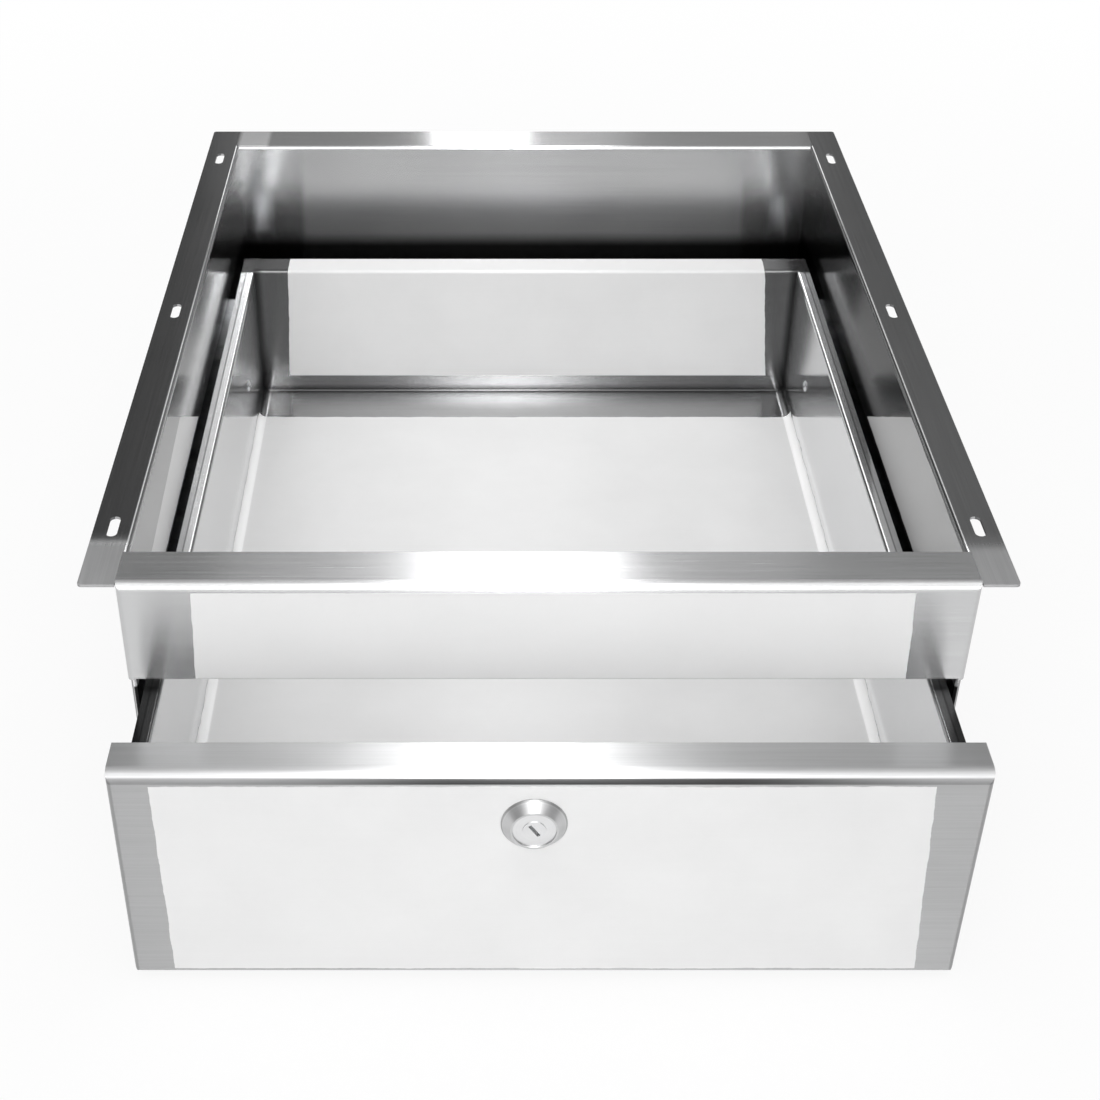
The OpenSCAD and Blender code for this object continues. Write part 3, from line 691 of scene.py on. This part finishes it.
def paper():
    """Pale paper: it bounces light and keeps a shadow, and shows near white."""
    material, g = new_material("paper")
    point, x, y, z = g.place()
    fibre = g.noise(point, 60.0, 4.0, 0.6)
    path = g.add("ShaderNodeLightPath").outputs
    seen = g.plus(path["Is Camera Ray"], path["Is Glossy Ray"])
    seen = g.math("MINIMUM", g.plus(seen, path["Is Transmission Ray"]), 1.0)
    # The floor below the part has a painted shadow, and doesn't glow there
    floor_shadow = g.times(
        inside(g, x, part_low.x + 32 * MM, part_high.x - 32 * MM, 12 * MM),
        inside(g, y, RAIL_FACE_Y + 14 * MM, part_high.y - 40 * MM, 12 * MM),
    )
    level = g.times(g.spread(fibre, 0.985, 1.01), g.fade(floor_shadow, 0.0, 1.0, 1.0, 0.4))
    diffuse = g.add("ShaderNodeBsdfDiffuse", {"Color": g.scaled((0.9, 0.9, 0.9), level)})
    glow = g.add("ShaderNodeEmission", {"Color": (1, 1, 1, 1), "Strength": 1.0})
    # What is far in front shows dark in metal, and the floor goes over into the world's white
    ahead = g.fade(y, part_low.y - 0.45, part_low.y - 1.2)
    dark = g.times(g.times(path["Is Glossy Ray"], ahead), 0.9)
    lit = g.times(g.minus(1.0, floor_shadow), g.minus(1.0, dark))
    share = g.times(seen, g.fade(g.far(x, y), 0.45, 1.4, 0.88, 1.0), lit)
    close_material(
        g, g.add("ShaderNodeMixShader", {0: share, 1: diffuse.outputs[0], 2: glow.outputs[0]})
    )
    return material


def add_floor():
    corners = [(x * FLOOR_HALF, y * FLOOR_HALF, FLOOR_Z) for x, y in
               ((-1, -1), (1, -1), (1, 1), (-1, 1))]
    mesh = bpy.data.meshes.new("floor")
    mesh.from_pydata(corners, [], [(0, 1, 2, 3)])
    floor = bpy.data.objects.new("floor", mesh)
    bpy.context.scene.collection.objects.link(floor)
    mesh.materials.append(paper())


def set_world():
    """White behind the part, and a grey studio above it for the metal to show."""
    world = bpy.data.worlds.new("studio")
    bpy.context.scene.world = world
    world.use_nodes = True
    g = Graph(world.node_tree)
    direction = g.add("ShaderNodeTexCoord").outputs["Generated"]
    parts = g.add("ShaderNodeSeparateXYZ", {0: direction}).outputs
    path = g.add("ShaderNodeLightPath").outputs
    back_wall = g.fade(parts["Z"], 0.10, 0.20, 0.9, g.fade(parts["X"], -0.3, 0.3, 0.09, 0.25))
    back = g.fade(parts["Z"], 0.62, 0.84, back_wall, 0.60)
    # Bands of the front wall from its foot up, which narrow to a grey at both sides
    front = g.fade(parts["Z"], 0.12, 0.20, 0.05, 4.0)
    front = g.fade(parts["Z"], 0.56, 0.64, front, 0.18)
    front = g.fade(parts["Z"], 0.77, 0.83, front, 2.2)
    front = g.fade(g.size(parts["X"]), 0.36, 0.52, front, 0.35)
    front = g.fade(parts["Z"], 0.93, 0.98, front, 0.5)
    studio = g.mix(g.fade(parts["Y"], 0.2, -0.2), back, front)
    level = g.mix(path["Is Glossy Ray"], (0.40, 0.40, 0.40, 1), studio)
    level = g.mix(path["Is Camera Ray"], level, (1, 1, 1, 1))
    sky = g.add("ShaderNodeBackground", {"Color": level, "Strength": 1.0})
    g.add("ShaderNodeOutputWorld", {"Surface": sky.outputs[0]})


# Looks of the frame's nodes

def dress(names, material):
    for name in names:
        for slot in nodes[name].material_slots:
            slot.link = "OBJECT"
            slot.material = material


def pairs(*stems):
    return [f"{stem}_{side}" for stem in stems for side in ("left", "right")]


def dress_frame():
    dress(["housing_left_side", "housing_right_side"], side_steel())
    dress(["housing_front_rail"], rail_steel())
    dress(["housing_back_panel"], back_steel())
    dress(["drawer_front"], front_steel())
    dress(["drawer_inner_front"], inner_front_steel())
    dress(["drawer_pan"], pan_steel())
    dress(pairs("outer_slide", "middle_slide", "inner_slide"), zinc_plate())
    dress(pairs("outer_cage", "inner_cage"), cage_strip())
    dress(pairs("outer_balls", "inner_balls"), ball_steel())
    dress(["housing_screws", "housing_nuts", "drawer_screws"], screw_zinc())
    dress(["slide_buffers"], rubber())
    dress(["lock_collar", "lock_plug", "lock_barrel"], lock_chrome())
    dress(["lock_nut", "lock_cam", "lock_cam_screw"], lock_zinc())


bpy.context.scene.view_settings.view_transform = "Standard"
add_camera()
add_lights()
add_floor()
set_world()
dress_frame()
